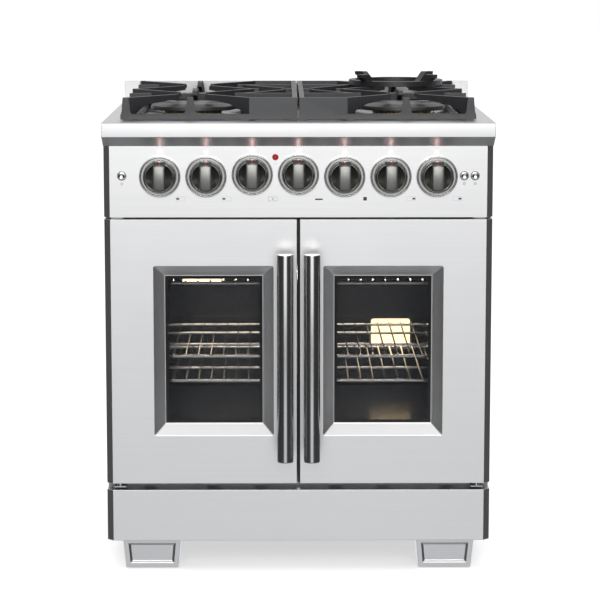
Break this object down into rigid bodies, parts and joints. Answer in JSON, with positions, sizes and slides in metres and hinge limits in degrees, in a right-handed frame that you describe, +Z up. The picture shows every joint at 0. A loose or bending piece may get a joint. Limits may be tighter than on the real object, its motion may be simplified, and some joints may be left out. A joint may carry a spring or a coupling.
{
  "type": "freestanding gas range",
  "caption": "Freestanding stainless gas range with French oven doors, cast-iron grates, a wok ring, push-and-turn knobs and a windowed convection oven.",
  "frame": {"origin": "on the floor, under the middle of the range's width and depth", "axes": "+Z up, -Y out of the oven doors, +X to the right as seen from the front"},
  "size_m": [0.762, 0.748, 0.9688],
  "materials": {
    "stainless": "satin",
    "galvanised": "satin",
    "dark_steel": "satin",
    "enamel": "gloss",
    "cast_iron": "matte",
    "chrome": "polished",
    "knob_metal": "satin",
    "brass": "satin",
    "aluminium": "matte",
    "door_glass": "gloss",
    "lamp_glass": "gloss",
    "wool": "matte",
    "tile": "matte",
    "rubber": "matte",
    "plastic": "matte"
  },
  "bodies": {
    "casing": {"side_panel_left": "stainless", "side_panel_right": "stainless", "back_panel": "galvanised", "base_pan": "galvanised", "front_frame": "dark_steel", "kick_panel": "stainless", "foot_covers": "stainless", "leveling_legs": "dark_steel", "cooktop_tray": "stainless", "front_rail": "stainless", "back_guard": "stainless", "control_panel": "stainless", "oven_liner": "enamel", "insulation": "wool", "oven_floor": "enamel", "rack_guides": "chrome", "fan_cover": "enamel", "fan_motor": "galvanised", "oven_lamps": "lamp_glass", "bake_burner": "chrome", "broil_burner": "tile", "door_hinges": "galvanised", "door_seal": "rubber", "burner_bases": "aluminium", "burner_rings": "brass", "burner_caps": "cast_iron", "knob_bezels": "chrome", "gas_manifold": "brass", "switch_bodies": "plastic"},
    "door_left": {"door_skin_left": "stainless", "door_liner_left": "dark_steel", "door_glass_left": "door_glass", "handle_left": "stainless"},
    "door_right": {"door_skin_right": "stainless", "door_liner_right": "dark_steel", "door_glass_right": "door_glass", "handle_right": "stainless"},
    "rack_top": {"rack_top": "chrome"},
    "rack_middle": {"rack_middle": "chrome"},
    "rack_lower": {"rack_lower": "chrome"},
    "fan": {"convection_fan": "chrome"},
    "grate_left": {"grate_left": "cast_iron"},
    "grate_right": {"grate_right": "cast_iron"},
    "wok_ring": {"wok_ring": "cast_iron"},
    "button_light": {"button_light": "chrome"},
    "button_fan": {"button_fan": "chrome"},
    "button_ignite": {"button_ignite": "chrome"},
    "knob_1": {"knob_1": "knob_metal"},
    "stem_1": {"valve_stem_1": "brass"},
    "knob_2": {"knob_2": "knob_metal"},
    "stem_2": {"valve_stem_2": "brass"},
    "knob_3": {"knob_3": "knob_metal"},
    "stem_3": {"valve_stem_3": "brass"},
    "knob_4": {"knob_4": "knob_metal"},
    "stem_4": {"valve_stem_4": "brass"},
    "knob_5": {"knob_5": "knob_metal"},
    "knob_6": {"knob_6": "knob_metal"},
    "stem_6": {"valve_stem_6": "brass"},
    "knob_7": {"knob_7": "knob_metal"},
    "stem_7": {"valve_stem_7": "brass"}
  },
  "joints": [
    {"name": "door_left_hinge", "type": "hinge", "parent": "casing", "child": "door_left", "pos_m": [-0.355, -0.283, 0.44], "axis": [0, 0, -1], "range_deg": [0, 110]},
    {"name": "door_right_hinge", "type": "hinge", "parent": "casing", "child": "door_right", "pos_m": [0.355, -0.283, 0.44], "axis": [0, 0, 1], "range_deg": [0, 110]},
    {"name": "knob_1_push", "type": "slide", "parent": "casing", "child": "stem_1", "axis": [0, 1, 0], "range_m": [0, 0.003], "stiffness_N_per_m": 800, "springref_m": -0.004},
    {"name": "knob_1_turn", "type": "hinge", "parent": "stem_1", "child": "knob_1", "pos_m": [-0.2706, -0.319, 0.7914], "axis": [0, -1, 0], "range_deg": [0, 225]},
    {"name": "knob_2_push", "type": "slide", "parent": "casing", "child": "stem_2", "axis": [0, 1, 0], "range_m": [0, 0.003], "stiffness_N_per_m": 800, "springref_m": -0.004},
    {"name": "knob_2_turn", "type": "hinge", "parent": "stem_2", "child": "knob_2", "pos_m": [-0.1804, -0.319, 0.7914], "axis": [0, -1, 0], "range_deg": [0, 225]},
    {"name": "knob_3_push", "type": "slide", "parent": "casing", "child": "stem_3", "axis": [0, 1, 0], "range_m": [0, 0.003], "stiffness_N_per_m": 800, "springref_m": -0.004},
    {"name": "knob_3_turn", "type": "hinge", "parent": "stem_3", "child": "knob_3", "pos_m": [-0.0902, -0.319, 0.7954], "axis": [0, -1, 0], "range_deg": [0, 225]},
    {"name": "knob_4_push", "type": "slide", "parent": "casing", "child": "stem_4", "axis": [0, 1, 0], "range_m": [0, 0.003], "stiffness_N_per_m": 800, "springref_m": -0.004},
    {"name": "knob_4_turn", "type": "hinge", "parent": "stem_4", "child": "knob_4", "pos_m": [0, -0.319, 0.7954], "axis": [0, -1, 0], "range_deg": [0, 270]},
    {"name": "knob_5_turn", "type": "hinge", "parent": "casing", "child": "knob_5", "pos_m": [0.0902, -0.319, 0.7914], "axis": [0, -1, 0], "range_deg": [0, 270]},
    {"name": "knob_6_push", "type": "slide", "parent": "casing", "child": "stem_6", "axis": [0, 1, 0], "range_m": [0, 0.003], "stiffness_N_per_m": 800, "springref_m": -0.004},
    {"name": "knob_6_turn", "type": "hinge", "parent": "stem_6", "child": "knob_6", "pos_m": [0.1804, -0.319, 0.7914], "axis": [0, -1, 0], "range_deg": [0, 225]},
    {"name": "knob_7_push", "type": "slide", "parent": "casing", "child": "stem_7", "axis": [0, 1, 0], "range_m": [0, 0.003], "stiffness_N_per_m": 800, "springref_m": -0.004},
    {"name": "knob_7_turn", "type": "hinge", "parent": "stem_7", "child": "knob_7", "pos_m": [0.2706, -0.319, 0.7914], "axis": [0, -1, 0], "range_deg": [0, 225]},
    {"name": "button_light_push", "type": "slide", "parent": "casing", "child": "button_light", "axis": [0, 1, 0], "range_m": [0, 0.002], "stiffness_N_per_m": 600, "springref_m": -0.003},
    {"name": "button_fan_push", "type": "slide", "parent": "casing", "child": "button_fan", "axis": [0, 1, 0], "range_m": [0, 0.002], "stiffness_N_per_m": 600, "springref_m": -0.003},
    {"name": "button_ignite_push", "type": "slide", "parent": "casing", "child": "button_ignite", "axis": [0, 1, 0], "range_m": [0, 0.002], "stiffness_N_per_m": 600, "springref_m": -0.003},
    {"name": "rack_top_slide", "type": "slide", "parent": "casing", "child": "rack_top", "axis": [0, -1, 0], "range_m": [0, 0.026]},
    {"name": "rack_middle_slide", "type": "slide", "parent": "casing", "child": "rack_middle", "axis": [0, -1, 0], "range_m": [0, 0.026]},
    {"name": "rack_lower_slide", "type": "slide", "parent": "casing", "child": "rack_lower", "axis": [0, -1, 0], "range_m": [0, 0.026]},
    {"name": "grate_left_lift", "type": "slide", "parent": "casing", "child": "grate_left", "axis": [0, 0, 1], "range_m": [0, 0.06]},
    {"name": "grate_right_lift", "type": "slide", "parent": "casing", "child": "grate_right", "axis": [0, 0, 1], "range_m": [0, 0.06]},
    {"name": "wok_ring_lift", "type": "slide", "parent": "grate_right", "child": "wok_ring", "axis": [0, 0, 1], "range_m": [0, 0.06]},
    {"name": "fan_spin", "type": "hinge", "parent": "casing", "child": "fan", "pos_m": [0, 0.21, 0.366], "axis": [0, 1, 0], "continuous": true}
  ]
}
